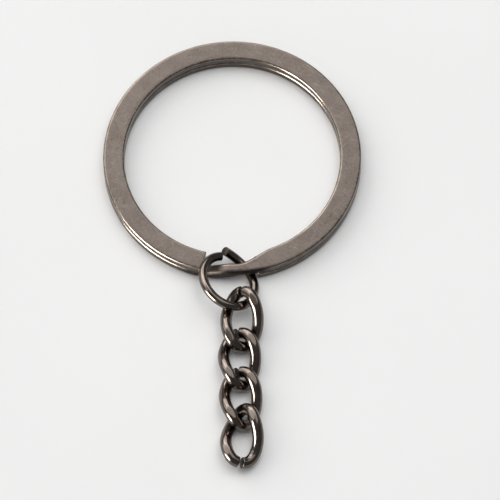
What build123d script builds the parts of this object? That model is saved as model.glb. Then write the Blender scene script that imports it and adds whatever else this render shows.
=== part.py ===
"""Flat split key ring with an open jump ring and four twisted curb chain links.

Frame: millimetres, +Z up. The origin is the centre of the split ring, on the plane that it
lies on. The chain runs out along -Y. An angle "round the ring" is 0 at -Y and grows
towards +X.
"""
from build123d import *
import os
from bisect import bisect_left
from math import copysign, cos, pi, radians, sin, tan

# Split ring: flat strip wound into two turns, one lying on the other.
RING_OUTER_RADIUS = 15.0
RING_INNER_RADIUS = 12.55
TURN_THICKNESS = 1.08
TURN_GAP = 0.06
STRIP_EDGE_RADIUS = 0.3

# Necked joggle, where the strip climbs from the lower turn to the upper one. It is squeezed
# narrower and thicker there: its top starts to climb before its underside does.
NECK_INNER_RADIUS = 13.65
NECK_OUTER_RADIUS = 14.97
NECK_EDGE_RADIUS = 0.45
NECK_START = -10.0
NECK_END = 1.0
TAPER_ANGLE = 19.0
TOP_CLIMB = (-14.8, -2.0)
UNDERSIDE_CLIMB = (-13.0, 6.5)
LOFT_STEP = 1.0
UPPER_TURN_END = -14.7
LOWER_TURN_END = 10.2

# Jump ring: round wire bent to an oval, its right-hand end sprung out of plane.
JUMP_WIRE_RADIUS = 0.525
JUMP_HALF_WIDTH = 3.19
JUMP_HALF_LENGTH = 3.59
JUMP_GAP_ANGLES = (-9.5, 348.3)
JUMP_END_LIFT = 0.89
JUMP_END_SPREAD = 0.12
JUMP_BEND_ANGLE = 60.0
JUMP_CENTRE = (-0.724, -15.973, 2.103)
JUMP_YAW = 3.6
JUMP_PITCH = -13.9
JUMP_ROLL = 24.5

# Curb chain link: a full oval of round wire twisted about its length, pressed flat in a slab.
LINK_WIRE_RADIUS = 0.66
LINK_HALF_WIDTH = 1.827
LINK_HALF_LENGTH = 3.22
LINK_SIDE_POWER = 0.883
LINK_END_POWER = 0.7
LINK_TWIST = 36.5
LINK_GAP_HALF_ANGLE = 5.0
LINK_SLAB_HALF_HEIGHT = 1.395

# Where each link lies: centre, turn about Z, tilt about X, roll about Y.
LINK_PLACES = {
    "chain_link_1": ((0.716, -20.79, 2.128), -3.2, 13.9, -2.0),
    "chain_link_2": ((0.312, -25.514, 1.557), -0.3, -0.1, 6.1),
    "chain_link_3": ((0.345, -30.389, 1.568), 1.2, 0.7, 5.5),
    "chain_link_4": ((0.426, -34.997, 1.66), 174.0, -2.4, 12.2),
}
WIRE_PATH_CORNERS = 22
CURVE_SAMPLES = 2000
ARC_SHARE = 0.49


def smooth_step(share):
    """Rise from 0 to 1 with a level start and a level end."""
    share = min(max(share, 0.0), 1.0)
    return share * share * (3.0 - 2.0 * share)


def strip_section(angle, inner, outer, bottom, top, edge):
    """Rounded rectangular strip section standing at an angle round the ring."""
    outward = Vector(sin(radians(angle)), -cos(radians(angle)), 0)
    backward = Vector(-cos(radians(angle)), -sin(radians(angle)), 0)
    centre = outward * ((inner + outer) / 2) + Vector(0, 0, (bottom + top) / 2)
    plane = Plane(origin=centre, x_dir=outward, z_dir=backward)
    return plane * RectangleRounded(outer - inner, top - bottom, edge)


def climb(angle, start, end):
    """Height gained between two angles, up to one turn and the gap over it."""
    return (TURN_THICKNESS + TURN_GAP) * smooth_step((angle - start) / (end - start))


def joggle_section(angle):
    """Section of the joggle: necked in the middle, as wide as a turn at both ends."""
    past_neck = max(angle - NECK_END, NECK_START - angle, 0.0)
    widening = smooth_step(past_neck / TAPER_ANGLE)
    inner = NECK_INNER_RADIUS + (RING_INNER_RADIUS - NECK_INNER_RADIUS) * widening
    outer = NECK_OUTER_RADIUS + (RING_OUTER_RADIUS - NECK_OUTER_RADIUS) * widening
    edge = NECK_EDGE_RADIUS + (STRIP_EDGE_RADIUS - NECK_EDGE_RADIUS) * widening
    bottom = climb(angle, *UNDERSIDE_CLIMB)
    top = TURN_THICKNESS + climb(angle, *TOP_CLIMB)
    return strip_section(angle, inner, outer, bottom, top, edge)


def make_turn(start, end, bottom):
    """One flat turn of the strip, from one angle round the ring to another."""
    top = bottom + TURN_THICKNESS
    section = strip_section(start, RING_INNER_RADIUS, RING_OUTER_RADIUS, bottom, top, STRIP_EDGE_RADIUS)
    return revolve(section, Axis.Z, end - start)


def make_split_ring():
    """Two flat turns joined by the joggle."""
    joggle_start = NECK_START - TAPER_ANGLE
    joggle_end = NECK_END + TAPER_ANGLE
    steps = round((joggle_end - joggle_start) / LOFT_STEP)
    angles = [joggle_start + i * (joggle_end - joggle_start) / steps for i in range(steps + 1)]
    joggle = loft([joggle_section(angle) for angle in angles], ruled=True)
    upper = make_turn(joggle_end, 360 + UPPER_TURN_END, TURN_THICKNESS + TURN_GAP)
    lower = make_turn(LOWER_TURN_END, 360 + joggle_start, 0.0)
    return joggle + upper + lower


def even_points(curve, start, end):
    """Points at even distances along a curve, from one parameter value to another."""
    samples = [curve(start + i * (end - start) / CURVE_SAMPLES) for i in range(CURVE_SAMPLES + 1)]
    lengths = [0.0]
    for before, after in zip(samples, samples[1:]):
        lengths.append(lengths[-1] + (after - before).length)
    points = []
    for i in range(WIRE_PATH_CORNERS + 1):
        wanted = lengths[-1] * i / WIRE_PATH_CORNERS
        points.append(samples[min(bisect_left(lengths, wanted), CURVE_SAMPLES)])
    return points


def push_corners_out(points):
    """Corners whose rounding arcs run along the smooth curve through the points."""
    corners = [points[0]]
    for before, point, after in zip(points, points[1:], points[2:]):
        corners.append(point - (before + after - point * 2) * 0.125)
    return corners + [points[-1]]


def rounded_path(corners):
    """Straight runs between the corners, each corner rounded by the largest tangent arc."""
    edges = []
    run_start = corners[0]
    for before, corner, after in zip(corners, corners[1:], corners[2:]):
        back, ahead = before - corner, after - corner
        reach = ARC_SHARE * min(back.length, ahead.length)
        half_turn = radians(180 - back.get_angle(ahead)) / 2
        radius = reach / tan(half_turn)
        inward = (back.normalized() + ahead.normalized()).normalized()
        arc_start = corner + back.normalized() * reach
        arc_end = corner + ahead.normalized() * reach
        arc_middle = corner + inward * (radius / cos(half_turn) - radius)
        edges.append(Line(run_start, arc_start))
        edges.append(ThreePointArc(arc_start, arc_middle, arc_end))
        run_start = arc_end
    edges.append(Line(run_start, corners[-1]))
    return Wire([edge.edge() for edge in edges])


def bend_wire(curve, start, end, radius):
    """Round wire bent along a curve."""
    path = rounded_path(push_corners_out(even_points(curve, start, end)))
    section = Plane(origin=path @ 0, z_dir=path % 0) * Circle(radius)
    return sweep(section, path=path)


def jump_ring_curve(angle):
    """Centre line of the jump ring's wire, as an oval whose first end is sprung away."""
    bend = max(1 - (angle - JUMP_GAP_ANGLES[0]) / JUMP_BEND_ANGLE, 0.0) ** 2
    across = (JUMP_HALF_WIDTH + JUMP_END_SPREAD * bend) * sin(radians(angle))
    along = (JUMP_HALF_LENGTH + JUMP_END_SPREAD * bend) * cos(radians(angle))
    return Vector(across, along, JUMP_END_LIFT * bend)


def make_jump_ring():
    """Open oval ring of round wire, tilted where it hangs in the joggle."""
    ring = bend_wire(jump_ring_curve, *JUMP_GAP_ANGLES, JUMP_WIRE_RADIUS)
    return Pos(*JUMP_CENTRE) * Rot(Z=JUMP_YAW) * Rot(X=JUMP_PITCH) * Rot(Y=JUMP_ROLL) * ring


def link_curve(angle):
    """Centre line of a link's wire, as a full oval twisted about its length."""
    across, along = cos(radians(angle)), sin(radians(angle))
    across = copysign(abs(across) ** LINK_SIDE_POWER, across)
    along = copysign(abs(along) ** LINK_END_POWER, along)
    twist = radians(LINK_TWIST) * sin(pi / 2 * along)
    side = LINK_HALF_WIDTH * across
    return Vector(side * cos(twist), LINK_HALF_LENGTH * along, side * sin(twist))


def make_link():
    """One curb link about its own centre, lengthways along Y, with its gap at +Y."""
    wire = bend_wire(link_curve, 90 + LINK_GAP_HALF_ANGLE, 450 - LINK_GAP_HALF_ANGLE, LINK_WIRE_RADIUS)
    slab = Box(4 * LINK_HALF_WIDTH, 4 * LINK_HALF_LENGTH, 2 * LINK_SLAB_HALF_HEIGHT)
    return wire & slab


def main():
    nodes = {"split_ring": make_split_ring(), "jump_ring": make_jump_ring()}
    link = make_link()
    for name, (centre, turn, tilt, roll) in LINK_PLACES.items():
        nodes[name] = Pos(*centre) * Rot(Z=turn) * Rot(X=tilt) * Rot(Y=roll) * link
    os.makedirs("parts", exist_ok=True)
    for name, shape in nodes.items():
        shape.label = name
        export_step(shape, f"parts/{name}.step")


main()
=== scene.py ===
"""Split key ring with a jump ring and a short curb chain, lying on a pale table."""

import math

import bmesh
import bpy
import numpy as np
from mathutils import Matrix, Vector


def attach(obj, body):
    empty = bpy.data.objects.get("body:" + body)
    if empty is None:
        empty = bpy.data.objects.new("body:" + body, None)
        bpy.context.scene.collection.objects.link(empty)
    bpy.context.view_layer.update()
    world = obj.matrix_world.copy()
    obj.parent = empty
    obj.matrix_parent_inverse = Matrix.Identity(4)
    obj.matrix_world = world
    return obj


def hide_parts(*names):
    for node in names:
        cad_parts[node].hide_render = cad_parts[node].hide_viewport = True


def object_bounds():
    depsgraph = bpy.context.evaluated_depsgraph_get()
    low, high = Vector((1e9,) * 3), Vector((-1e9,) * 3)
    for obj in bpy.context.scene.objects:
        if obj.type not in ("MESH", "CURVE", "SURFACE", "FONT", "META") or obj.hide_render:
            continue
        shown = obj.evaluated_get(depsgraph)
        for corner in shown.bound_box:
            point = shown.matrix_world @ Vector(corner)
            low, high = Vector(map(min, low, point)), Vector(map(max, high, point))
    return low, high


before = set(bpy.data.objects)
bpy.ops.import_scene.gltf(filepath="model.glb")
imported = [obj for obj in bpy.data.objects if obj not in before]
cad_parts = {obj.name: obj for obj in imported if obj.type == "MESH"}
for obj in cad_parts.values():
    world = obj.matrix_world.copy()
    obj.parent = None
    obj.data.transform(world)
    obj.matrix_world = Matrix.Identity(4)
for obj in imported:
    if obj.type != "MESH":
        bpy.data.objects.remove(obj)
bounds_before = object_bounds()
MM = 0.001

# Split ring, in millimetres and degrees round the ring from -Y towards +X.
RING_OUTER, RING_INNER = 15.0, 12.55
TURN_THICKNESS, TURN_GAP, STRIP_EDGE = 1.08, 0.06, 0.3
NECK_OUTER, NECK_INNER, NECK_EDGE = 14.97, 13.65, 0.45
NECK_START, NECK_END, TAPER_ANGLE = -10.0, 1.0, 19.0
TOP_CLIMB, UNDERSIDE_CLIMB = (-14.8, -2.0), (-13.0, 6.5)
UPPER_TURN_END, LOWER_TURN_END = -14.7, 10.2
STRIP_ANGLE_STEP = 0.5
STRIP_WOBBLE = 0.012
CUT_END_INSETS = (0.07, 0.02)
CUT_END_ANGLE = 0.05

# Jump ring, in millimetres and degrees.
JUMP_WIRE = 0.525
JUMP_HALF_WIDTH, JUMP_HALF_LENGTH = 3.19, 3.59
JUMP_GAP_ANGLES = (-9.5, 348.3)
JUMP_LIFT, JUMP_SPREAD, JUMP_BEND_ANGLE = 0.89, 0.12, 60.0
JUMP_PLACE = ((-0.724, -15.973, 2.103), 3.6, -13.9, 24.5)
JUMP_CIRCLES, JUMP_SIDES, JUMP_END_ROUND = 420, 40, 0.08

# Chain links, in millimetres and degrees.
LINK_WIRE = 0.66
LINK_HALF_WIDTH, LINK_HALF_LENGTH, LINK_TWIST = 1.827, 3.22, 36.5
LINK_SIDE_POWER, LINK_END_POWER = 0.883, 0.7
LINK_SLAB, LINK_SLAB_MARGIN = 1.395, 0.003
LINK_GAP = 5.0
LINK_CURVE_POINTS, LINK_CIRCLES, LINK_SIDES, LINK_END_ROUND = 8001, 520, 72, 0.09
GRAIN_SHIFT_PER_LINK = 17.0
# Where each link lies: centre, turn about Z, tilt about X, roll about Y.
LINK_PLACES = {
    "chain_link_1": ((0.716, -20.79, 2.128), -3.2, 13.9, -2.0),
    "chain_link_2": ((0.312, -25.514, 1.557), -0.3, -0.1, 6.1),
    "chain_link_3": ((0.345, -30.389, 1.568), 1.2, 0.7, 5.5),
    "chain_link_4": ((0.426, -34.997, 1.66), 174.0, -2.4, 12.2),
}


# ---------------------------------------------------------------- shapes

def smooth_step(share):
    """Rise from 0 to 1 with a level start and a level end."""
    share = np.clip(share, 0.0, 1.0)
    return share * share * (3.0 - 2.0 * share)


def wander(values, seed, waves=5):
    """Slow random waviness along a piece, about -1 to 1."""
    rng = np.random.default_rng(seed)
    total = np.zeros_like(values, dtype=float)
    for wave in range(1, waves + 1):
        total += rng.normal() / wave * np.sin(wave * values + rng.uniform(0, 2 * math.pi))
    return total / 1.5


def make_mesh(name, rings, attributes):
    """Skin over rings of points, closed at both ends by fans. Points are in millimetres."""
    count, sides, _ = rings.shape
    ends = np.array([rings[0].mean(0), rings[-1].mean(0)])
    points = np.concatenate([rings.reshape(-1, 3), ends]) * MM
    faces = []
    for row in range(count - 1):
        here, there = row * sides, (row + 1) * sides
        for side in range(sides):
            after = (side + 1) % sides
            faces.append((here + side, there + side, there + after, here + after))
    first, last = count * sides, count * sides + 1
    for side in range(sides):
        after = (side + 1) % sides
        faces.append((first, side, after))
        faces.append((last, (count - 1) * sides + after, (count - 1) * sides + side))
    mesh = bpy.data.meshes.new(name)
    mesh.from_pydata(points.tolist(), [], faces)
    skin = bmesh.new()
    skin.from_mesh(mesh)
    bmesh.ops.recalc_face_normals(skin, faces=skin.faces)
    skin.to_mesh(mesh)
    skin.free()
    mesh.shade_smooth()
    for key, values in attributes.items():
        flat = np.concatenate([values.reshape(-1), [values[0].mean(), values[-1].mean()]])
        layer = mesh.attributes.new(key, "FLOAT", "POINT")
        layer.data.foreach_set("value", flat.astype(np.float32))
    mesh.update()
    obj = bpy.data.objects.new(name, mesh)
    bpy.context.scene.collection.objects.link(obj)
    return obj


def rounded_section(width, height, radius, flat_steps=8, corner_steps=8):
    """Rounded rectangle about its centre, with each point's nearness to an edge and to a wall."""
    points, nearness, wall = [], [], []
    half_w, half_h = width / 2, height / 2
    corners = [(1, 1, 0), (-1, 1, 90), (-1, -1, 180), (1, -1, 270)]
    for index, (sx, sy, start) in enumerate(corners):
        for step in range(corner_steps + 1):
            turn = math.radians(start + 90 * step / corner_steps)
            points.append((sx * (half_w - radius) + radius * math.cos(turn),
                           sy * (half_h - radius) + radius * math.sin(turn)))
            nearness.append(abs(math.sin(2 * turn)))
            wall.append(abs(math.cos(turn)))
        nx, ny, _ = corners[(index + 1) % 4]
        turn = math.radians(start + 90)
        here = np.array(points[-1])
        there = np.array((nx * (half_w - radius) + radius * math.cos(turn),
                          ny * (half_h - radius) + radius * math.sin(turn)))
        for step in range(1, flat_steps):
            points.append(tuple(here + (there - here) * step / flat_steps))
            nearness.append(0.0)
            wall.append(abs(math.cos(turn)))
    return np.array(points), np.array(nearness), np.array(wall)


def climb(angle, start, end):
    """Height gained between two angles, up to one turn and the gap over it."""
    return (TURN_THICKNESS + TURN_GAP) * float(smooth_step((angle - start) / (end - start)))


def make_split_ring():
    """The whole strip as one sweep, from the lower turn's cut end to the upper turn's."""
    angles = np.arange(LOWER_TURN_END - 360, 360 + UPPER_TURN_END + 0.01, STRIP_ANGLE_STEP)
    angles = np.concatenate([[angles[0], angles[0] + CUT_END_ANGLE], angles[1:-1],
                             [angles[-1] - CUT_END_ANGLE, angles[-1]]])
    insets = np.zeros(len(angles))
    insets[:2], insets[-2:] = CUT_END_INSETS, CUT_END_INSETS[::-1]
    rings, near, walls, necks = [], [], [], []
    wobble_in = wander(np.radians(angles), 11) * STRIP_WOBBLE
    wobble_out = (wander(np.radians(angles), 12) - 1) * STRIP_WOBBLE
    for index, angle in enumerate(angles):
        past = max(angle - NECK_END, NECK_START - angle, 0.0)
        widening = float(smooth_step(past / TAPER_ANGLE))
        inner = NECK_INNER + (RING_INNER - NECK_INNER) * widening + wobble_in[index]
        outer = NECK_OUTER + (RING_OUTER - NECK_OUTER) * widening + wobble_out[index]
        edge = NECK_EDGE + (STRIP_EDGE - NECK_EDGE) * widening
        bottom = climb(angle, *UNDERSIDE_CLIMB)
        top = TURN_THICKNESS + climb(angle, *TOP_CLIMB)
        width, thickness = (size - 2 * insets[index] for size in (outer - inner, top - bottom))
        section, nearness, wall = rounded_section(width, thickness, edge)
        turn = math.radians(angle)
        outward = np.array([math.sin(turn), -math.cos(turn), 0.0])
        centre = outward * (inner + outer) / 2 + np.array([0, 0, (bottom + top) / 2])
        rings.append(centre + section[:, :1] * outward + section[:, 1:] * np.array([0, 0, 1.0]))
        near.append(np.maximum(nearness, 1.0 if insets[index] else 0.0))
        walls.append(wall)
        necks.append(np.full(len(section), 1 - widening))
    attributes = {"edge": np.array(near), "wall": np.array(walls), "neck": np.array(necks)}
    return make_mesh("split_ring_strip", np.array(rings), attributes)


def carried_frames(centres):
    """Two directions across a curve, carried along it without twisting."""
    tangents = np.gradient(centres, axis=0)
    tangents /= np.linalg.norm(tangents, axis=1)[:, None]
    slanting = (0.3, 0.5, 0.81)
    side = np.cross(tangents[0], slanting)
    sides = []
    for tangent in tangents:
        side = side - tangent * side.dot(tangent)
        side = side / np.linalg.norm(side)
        sides.append(side)
    sides = np.array(sides)
    return sides, np.cross(tangents, sides)


def wire_rings(centres, radius, sides, end_round):
    """Circles along a wire, shrinking into a small rounding at both cut ends."""
    first, second = carried_frames(centres)
    turns = np.linspace(0, 2 * math.pi, sides, endpoint=False)
    length = np.concatenate([[0], np.cumsum(np.linalg.norm(np.diff(centres, axis=0), axis=1))])
    to_end = np.minimum(length, length[-1] - length)
    depth = np.clip(1 - to_end / end_round, 0, 1)
    radii = radius - end_round * (1 - np.sqrt(np.clip(1 - depth * depth, 0, 1)))
    around = (np.cos(turns)[None, :, None] * first[:, None]
              + np.sin(turns)[None, :, None] * second[:, None])
    rings = centres[:, None] + around * radii[:, None, None]
    shape = rings.shape[:2]
    attributes = {
        "along": np.broadcast_to(length[:, None], shape).copy(),
        "around": np.broadcast_to((turns * radius)[None], shape).copy(),
        "edge": np.broadcast_to(depth[:, None], shape).copy(),
    }
    return rings, attributes


def end_spacing(count, sharpness=0.004):
    """Shares from 0 to 1, evenly spaced but crowded at both ends."""
    body = np.linspace(0, 1, count)
    crowd = np.array([0.0, 0.12, 0.3, 0.55, 0.8]) * sharpness
    return np.unique(np.concatenate([crowd, body[body > sharpness], 1 - crowd]).clip(0, 1))


def place(points, where):
    """Turn points about their own origin and move them to where the piece lies."""
    centre, yaw, tilt, roll = where
    turn = (Matrix.Rotation(math.radians(yaw), 3, "Z") @ Matrix.Rotation(math.radians(tilt), 3, "X")
            @ Matrix.Rotation(math.radians(roll), 3, "Y"))
    return points @ np.array(turn).T + np.array(centre)


def make_jump_ring():
    """Open oval ring of round wire, with its first end sprung away."""
    start, end = JUMP_GAP_ANGLES
    angles = start + (end - start) * end_spacing(JUMP_CIRCLES)
    bend = np.clip(1 - (angles - start) / JUMP_BEND_ANGLE, 0, 1) ** 2
    turn = np.radians(angles)
    centres = np.stack([
        (JUMP_HALF_WIDTH + JUMP_SPREAD * bend) * np.sin(turn),
        (JUMP_HALF_LENGTH + JUMP_SPREAD * bend) * np.cos(turn),
        JUMP_LIFT * bend,
    ], axis=1)
    rings, attributes = wire_rings(centres, JUMP_WIRE, JUMP_SIDES, JUMP_END_ROUND)
    attributes["flat"] = np.zeros(rings.shape[:2])
    return make_mesh("jump_ring_wire", place(rings, JUMP_PLACE), attributes)


def press_flat(height, limit, softness=0.025):
    """Push anything past the limit back to it, with a soft brim, and say how far it is pressed."""
    over = (np.abs(height) - limit) / softness
    pressed = np.sign(height) * (np.abs(height) - softness * np.logaddexp(0, over))
    return pressed, 1 / (1 + np.exp(-over))


def even_curve(points, count):
    """The same curve with its points at even distances, crowded at both ends."""
    length = np.concatenate([[0], np.cumsum(np.linalg.norm(np.diff(points, axis=0), axis=1))])
    wanted = end_spacing(count) * length[-1]
    return np.stack([np.interp(wanted, length, points[:, axis]) for axis in range(3)], axis=1)


def make_link(name, where, number):
    """One curb link: an oval of round wire twisted about its length and pressed flat."""
    angles = np.radians(np.linspace(90 + LINK_GAP, 450 - LINK_GAP, LINK_CURVE_POINTS))
    across = np.sign(np.cos(angles)) * np.abs(np.cos(angles)) ** LINK_SIDE_POWER
    along = np.sign(np.sin(angles)) * np.abs(np.sin(angles)) ** LINK_END_POWER
    twist = math.radians(LINK_TWIST) * np.sin(math.pi / 2 * along)
    side = LINK_HALF_WIDTH * across
    centres = [side * np.cos(twist), LINK_HALF_LENGTH * along, side * np.sin(twist)]
    centres = even_curve(np.stack(centres, axis=1), LINK_CIRCLES)
    rings, attributes = wire_rings(centres, LINK_WIRE, LINK_SIDES, LINK_END_ROUND)
    rings[:, :, 2], attributes["flat"] = press_flat(rings[:, :, 2], LINK_SLAB - LINK_SLAB_MARGIN)
    attributes["along"] += GRAIN_SHIFT_PER_LINK * number
    return make_mesh(name, place(rings, where), attributes)


# ---------------------------------------------------------------- materials

# Strip plating.
PLATING_DARK, PLATING_PALE = (0.098, 0.08, 0.07), (0.121, 0.102, 0.09)
PLATING_GRAIN, PLATING_SPECK = (0.19, 0.163, 0.146), (0.06, 0.046, 0.038)
PLATING_BLOTCH, PLATING_SCRATCH = (0.06, 0.04, 0.03), (0.34, 0.3, 0.27)
# Painted shade: the wall colour darkens the strip's walls, and the neck colour darkens the neck
# walls much further.
PLATING_WALL_SHADE, PLATING_NECK_SHADE = (0.075, 0.063, 0.056), (0.02, 0.016, 0.013)
# Pale edge colour: partly worn plating, partly a painted highlight along the rounded edges.
PLATING_WORN_AND_HIGHLIGHT = (0.36, 0.29, 0.235)

# Wire plating.
WIRE_DARK, WIRE_PALE = (0.102, 0.082, 0.071), (0.142, 0.117, 0.102)
WIRE_DRAWN, WIRE_PIT = (0.21, 0.182, 0.16), (0.04, 0.028, 0.02)
# The last colour is painted shade for the cut wire ends.
WIRE_FLAT, WIRE_WORN, WIRE_CUT_END_SHADE = (0.13, 0.11, 0.097), (0.3, 0.25, 0.21), (0.035, 0.028, 0.024)
GRAIN_SHIFT_PER_WIRE = 31.0

TABLE_DARK, TABLE_PALE = (0.83, 0.828, 0.824), (0.85, 0.848, 0.844)


class Shader:
    """Small helper that wires up one material's nodes."""

    def __init__(self, name):
        self.material = bpy.data.materials.new(name)
        self.material.use_nodes = True
        self.tree = self.material.node_tree
        self.surface = self.tree.nodes["Principled BSDF"]
        coordinates = self.tree.nodes.new("ShaderNodeTexCoord")
        scale = self.tree.nodes.new("ShaderNodeVectorMath")
        scale.operation = "SCALE"
        scale.inputs["Scale"].default_value = 1 / MM
        self.tree.links.new(coordinates.outputs["Object"], scale.inputs[0])
        self.place = scale.outputs["Vector"]

    def put(self, value, socket):
        if isinstance(value, bpy.types.NodeSocket):
            self.tree.links.new(value, socket)
        else:
            socket.default_value = value

    def attribute(self, name):
        node = self.tree.nodes.new("ShaderNodeAttribute")
        node.attribute_name = name
        return node.outputs["Fac"]

    def math(self, operation, first, second=0.0):
        node = self.tree.nodes.new("ShaderNodeMath")
        node.operation = operation
        self.put(first, node.inputs[0])
        self.put(second, node.inputs[1])
        return node.outputs[0]

    def combine(self, x, y):
        node = self.tree.nodes.new("ShaderNodeCombineXYZ")
        self.put(x, node.inputs[0])
        self.put(y, node.inputs[1])
        return node.outputs[0]

    def noise(self, scale, detail=3.0, roughness=0.55, vector=None, distortion=0.0):
        node = self.tree.nodes.new("ShaderNodeTexNoise")
        self.put(self.place if vector is None else vector, node.inputs["Vector"])
        node.inputs["Scale"].default_value = scale
        node.inputs["Detail"].default_value = detail
        node.inputs["Roughness"].default_value = roughness
        node.inputs["Distortion"].default_value = distortion
        return node.outputs["Fac"]

    def ramp(self, value, low, high, to_low=0.0, to_high=1.0):
        node = self.tree.nodes.new("ShaderNodeMapRange")
        node.interpolation_type = "SMOOTHSTEP"
        self.put(value, node.inputs["Value"])
        node.inputs["From Min"].default_value = low
        node.inputs["From Max"].default_value = high
        node.inputs["To Min"].default_value = to_low
        node.inputs["To Max"].default_value = to_high
        return node.outputs["Result"]

    def blend(self, share, low, high):
        node = self.tree.nodes.new("ShaderNodeMix")
        node.data_type = "RGBA"
        self.put(share, node.inputs[0])
        for value, socket in ((low, node.inputs[6]), (high, node.inputs[7])):
            self.put((*value, 1.0) if isinstance(value, tuple) else value, socket)
        return node.outputs[2]

    def bump(self, height, strength, distance, below=None):
        node = self.tree.nodes.new("ShaderNodeBump")
        node.inputs["Strength"].default_value = strength
        node.inputs["Distance"].default_value = distance
        self.put(height, node.inputs["Height"])
        if below is not None:
            self.put(below, node.inputs["Normal"])
        return node.outputs["Normal"]

    def scratches(self, turn, stretch, threshold):
        """Sparse thin lines lying in one direction."""
        rotate = self.tree.nodes.new("ShaderNodeVectorRotate")
        rotate.rotation_type = "Z_AXIS"
        rotate.inputs["Angle"].default_value = turn
        self.put(self.place, rotate.inputs["Vector"])
        squeeze = self.tree.nodes.new("ShaderNodeVectorMath")
        squeeze.operation = "MULTIPLY"
        squeeze.inputs[1].default_value = (0.55, stretch, 1.0)
        self.put(rotate.outputs[0], squeeze.inputs[0])
        lines = self.noise(1.0, 2.0, 0.5, squeeze.outputs[0], 0.3)
        return self.ramp(lines, threshold, threshold + 0.07)


def strip_material():
    """Tumbled gunmetal plating: mottled satin flats, glossy walls darkened by painted shade, edges
    pale in patches, partly worn and partly a painted highlight. The walls of the neck are duller,
    with deeper painted shade."""
    shader = Shader("gunmetal_strip")
    clouds = shader.noise(0.55, 4.0, 0.6)
    grain = shader.noise(3.2, 5.0, 0.75)
    specks = shader.noise(6.0, 3.0, 0.65)
    colour = shader.blend(shader.ramp(clouds, 0.3, 0.7), PLATING_DARK, PLATING_PALE)
    colour = shader.blend(shader.ramp(grain, 0.42, 0.72, 0.0, 0.5), colour, PLATING_GRAIN)
    colour = shader.blend(shader.ramp(specks, 0.56, 0.68, 0.0, 0.35), colour, PLATING_SPECK)
    blotch = shader.math("MULTIPLY", shader.ramp(shader.noise(2.1, 3.0, 0.6), 0.58, 0.68),
                         shader.ramp(shader.noise(0.16, 2.0), 0.45, 0.6))
    colour = shader.blend(shader.math("MULTIPLY", blotch, 0.55), colour, PLATING_BLOTCH)
    wall = shader.ramp(shader.attribute("wall"), 0.45, 0.95)
    # Painted shade: the walls take a darker colour.
    colour = shader.blend(shader.math("MULTIPLY", wall, 0.8), colour, PLATING_WALL_SHADE)
    edge = shader.attribute("edge")
    patchy = shader.ramp(shader.noise(0.7, 4.0, 0.6), 0.4, 0.6, 0.35, 1.0)
    # Pale patches on the edges: worn plating and a painted highlight together.
    wear_and_highlight = shader.math("MULTIPLY", shader.ramp(edge, 0.25, 0.7), patchy)
    rubbed = shader.ramp(edge, 0.1, 0.6)
    colour = shader.blend(shader.math("MULTIPLY", wear_and_highlight, 0.55), colour, PLATING_WORN_AND_HIGHLIGHT)
    # Painted shade: the neck's walls are made much darker and duller.
    neck = shader.math("MULTIPLY", shader.ramp(shader.attribute("neck"), 0.02, 0.4),
                       shader.ramp(shader.attribute("wall"), 0.2, 0.65))
    colour = shader.blend(shader.math("MULTIPLY", neck, 0.93), colour, PLATING_NECK_SHADE)
    scratch = shader.math("MAXIMUM", shader.scratches(0.5, 16.0, 0.66),
                          shader.scratches(2.2, 13.0, 0.67))
    scratch = shader.math("MAXIMUM", scratch, shader.scratches(1.35, 19.0, 0.68))
    colour = shader.blend(shader.math("MULTIPLY", scratch, 0.35), colour, PLATING_SCRATCH)
    shader.put(colour, shader.surface.inputs["Base Color"])
    rough = shader.ramp(grain, 0.3, 0.75, 0.4, 0.54)
    rough = shader.math("SUBTRACT", rough, shader.math("MULTIPLY", wall, 0.26))
    rough = shader.math("SUBTRACT", rough, shader.math("MULTIPLY", rubbed, 0.16))
    rough = shader.math("MAXIMUM", rough, 0.24)
    rough = shader.math("ADD", rough, shader.math("MULTIPLY", neck, 0.28))
    rough = shader.math("SUBTRACT", rough, shader.math("MULTIPLY", scratch, 0.08))
    shader.put(rough, shader.surface.inputs["Roughness"])
    shader.surface.inputs["Metallic"].default_value = 1.0
    normal = shader.bump(grain, 0.35, 0.000018)
    normal = shader.bump(specks, 0.3, 0.000008, normal)
    normal = shader.bump(scratch, -0.25, 0.000006, normal)
    shader.put(normal, shader.surface.inputs["Normal"])
    return shader.material


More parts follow.
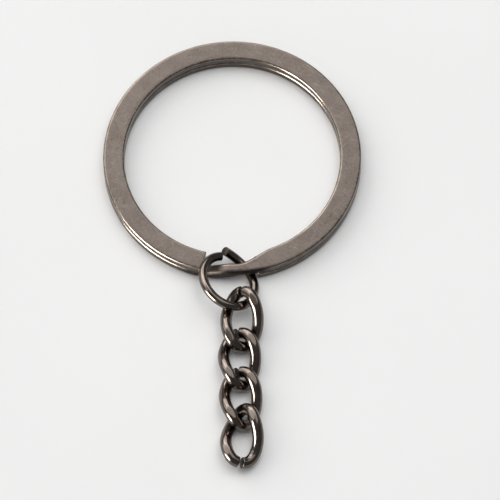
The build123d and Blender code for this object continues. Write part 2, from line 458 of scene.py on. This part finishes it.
def wire_material(name, number):
    """Polished gunmetal wire with drawing marks, satin where the links are pressed flat."""
    shader = Shader(name)
    along = shader.math("ADD", shader.attribute("along"), GRAIN_SHIFT_PER_WIRE * number)
    around = shader.attribute("around")
    drawn = shader.noise(1.0, 3.0, 0.6, shader.combine(shader.math("MULTIPLY", along, 0.35),
                                                       shader.math("MULTIPLY", around, 9.0)))
    clouds = shader.noise(0.9, 4.0, 0.6)
    grain = shader.noise(7.0, 4.0, 0.65)
    pits = shader.ramp(shader.noise(5.0, 3.0, 0.6), 0.66, 0.74)
    flat = shader.attribute("flat")
    colour = shader.blend(shader.ramp(clouds, 0.3, 0.7), WIRE_DARK, WIRE_PALE)
    colour = shader.blend(shader.ramp(drawn, 0.4, 0.75, 0.0, 0.4), colour, WIRE_DRAWN)
    colour = shader.blend(shader.math("MULTIPLY", pits, 0.5), colour, WIRE_PIT)
    brim = shader.math("MULTIPLY", flat, shader.math("SUBTRACT", 1.0, flat))
    brim = shader.math("MULTIPLY", brim, 3.2)
    colour = shader.blend(shader.math("MULTIPLY", flat, shader.ramp(grain, 0.3, 0.7, 0.4, 0.9)),
                          colour, WIRE_FLAT)
    worn = shader.math("MULTIPLY", brim, shader.ramp(grain, 0.4, 0.65, 0.0, 0.45))
    colour = shader.blend(worn, colour, WIRE_WORN)
    # Painted shade: the cut ends are darkened and made duller.
    cut = shader.ramp(shader.attribute("edge"), 0.55, 0.9)
    colour = shader.blend(shader.math("MULTIPLY", cut, 0.8), colour, WIRE_CUT_END_SHADE)
    shader.put(colour, shader.surface.inputs["Base Color"])
    rough = shader.ramp(clouds, 0.3, 0.7, 0.11, 0.17)
    rough = shader.math("ADD", rough, shader.ramp(drawn, 0.4, 0.8, 0.0, 0.08))
    rough = shader.math("ADD", rough, shader.math("MULTIPLY", flat, 0.2))
    rough = shader.math("ADD", rough, shader.math("MULTIPLY", cut, 0.2))
    shader.put(rough, shader.surface.inputs["Roughness"])
    shader.surface.inputs["Metallic"].default_value = 1.0
    normal = shader.bump(drawn, 0.12, 0.000012)
    normal = shader.bump(grain, 0.1, 0.00001, normal)
    shader.put(normal, shader.surface.inputs["Normal"])
    return shader.material


def table_material():
    """Plain pale board with a very faint tooth."""
    shader = Shader("pale_table")
    clouds = shader.noise(0.02, 3.0)
    colour = shader.blend(shader.ramp(clouds, 0.3, 0.7), TABLE_DARK, TABLE_PALE)
    shader.put(colour, shader.surface.inputs["Base Color"])
    shader.surface.inputs["Roughness"].default_value = 0.75
    shader.surface.inputs["Specular IOR Level"].default_value = 0.2
    shader.put(shader.bump(shader.noise(3.0, 3.0), 0.05, 0.00002), shader.surface.inputs["Normal"])
    return shader.material


# ---------------------------------------------------------------- pieces

strip = make_split_ring()
strip.data.materials.append(strip_material())
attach(strip, "split_ring")
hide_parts("split_ring")

jump = make_jump_ring()
jump.data.materials.append(wire_material("gunmetal_jump_wire", 1))
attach(jump, "jump_ring")
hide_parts("jump_ring")

link_finish = wire_material("gunmetal_chain_wire", 2)
for number, (node, where) in enumerate(LINK_PLACES.items(), 1):
    link = make_link(f"{node}_wire", where, number)
    link.data.materials.append(link_finish)
    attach(link, node)
    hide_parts(node)

# ---------------------------------------------------------------- table, light and camera

low, high = (Vector(corner) for corner in bounds_before)
middle = (low + high) / 2
TABLE_HALF = 1.2
table_mesh = bpy.data.meshes.new("table")
corners = [(-TABLE_HALF, -TABLE_HALF, low.z), (TABLE_HALF, -TABLE_HALF, low.z),
           (TABLE_HALF, TABLE_HALF, low.z), (-TABLE_HALF, TABLE_HALF, low.z)]
table_mesh.from_pydata(corners, [], [(0, 1, 2, 3)])
table = bpy.data.objects.new("table", table_mesh)
bpy.context.scene.collection.objects.link(table)
table.data.materials.append(table_material())


def add_light(name, azimuth, elevation, distance, size, radiance, colour=(1.0, 1.0, 1.0)):
    """A soft panel that faces the ring. Azimuth 0 is +Y and 90 is -X, in degrees."""
    around, up = math.radians(azimuth), math.radians(elevation)
    spot = middle + distance * Vector((-math.sin(around) * math.cos(up),
                                       math.cos(around) * math.cos(up), math.sin(up)))
    data = bpy.data.lights.new(name, "AREA")
    data.shape = "RECTANGLE"
    data.size, data.size_y = size
    data.energy = radiance * math.pi * size[0] * size[1]
    data.color = colour
    light = bpy.data.objects.new(name, data)
    light.location = spot
    light.rotation_euler = (middle - spot).to_track_quat("-Z", "Y").to_euler()
    bpy.context.scene.collection.objects.link(light)
    return light


# Two panels show only as reflections and one lights only the matt surfaces.
DAYLIGHT = (1.0, 0.993, 0.98)
window = add_light("window", 12, 38, 1.2, (1.0, 1.0), 3.6, DAYLIGHT)
add_light("side_panel", 50, 38, 1.2, (1.1, 1.1), 2.05, DAYLIGHT)
add_light("overhead", -50, 64, 1.0, (0.8, 0.8), 1.35)
fill = add_light("fill", 0, 88, 1.0, (0.7, 0.7), 2.7)
fill.visible_glossy = False
glint = add_light("glint", 120, 15, 1.0, (0.66, 0.54), 24.0, (1.0, 0.99, 0.97))
for gloss_only in (window, glint):
    gloss_only.visible_diffuse = False

ROOM_COLOUR, ROOM_STRENGTH = (0.96, 0.98, 1.0, 1.0), 0.2
world = bpy.data.worlds.new("studio")
world.use_nodes = True
background = world.node_tree.nodes["Background"]
background.inputs["Color"].default_value = ROOM_COLOUR
background.inputs["Strength"].default_value = ROOM_STRENGTH
bpy.context.scene.world = world

# Degrees for the angles, metres for the distances, millimetres for the lens and sensor.
CAMERA_HEIGHT_ANGLE, CAMERA_ROLL = 65.3, 1.4
CAMERA_DISTANCE, CAMERA_CLIP_START = 0.55, 0.01
CAMERA_LENS, CAMERA_SENSOR = 342.7, 36.0
AIM_OFFSET = Vector((1.81, 0.81, 0.0)) * MM
camera_data = bpy.data.cameras.new("camera")
camera_data.lens = CAMERA_LENS
camera_data.sensor_width = CAMERA_SENSOR
camera = bpy.data.objects.new("camera", camera_data)
aim = Vector((middle.x, middle.y, low.z)) + AIM_OFFSET
height = math.radians(CAMERA_HEIGHT_ANGLE)
ray = Vector((0.0, -math.cos(height), math.sin(height)))
roll = Matrix.Rotation(-math.radians(CAMERA_ROLL), 3, "Z")
facing = ray.to_track_quat("Z", "Y").to_matrix() @ roll
camera.matrix_world = Matrix.Translation(aim + ray * CAMERA_DISTANCE) @ facing.to_4x4()
camera_data.clip_start = CAMERA_CLIP_START
bpy.context.scene.collection.objects.link(camera)
bpy.context.scene.camera = camera
bpy.context.scene.view_settings.view_transform = "Standard"
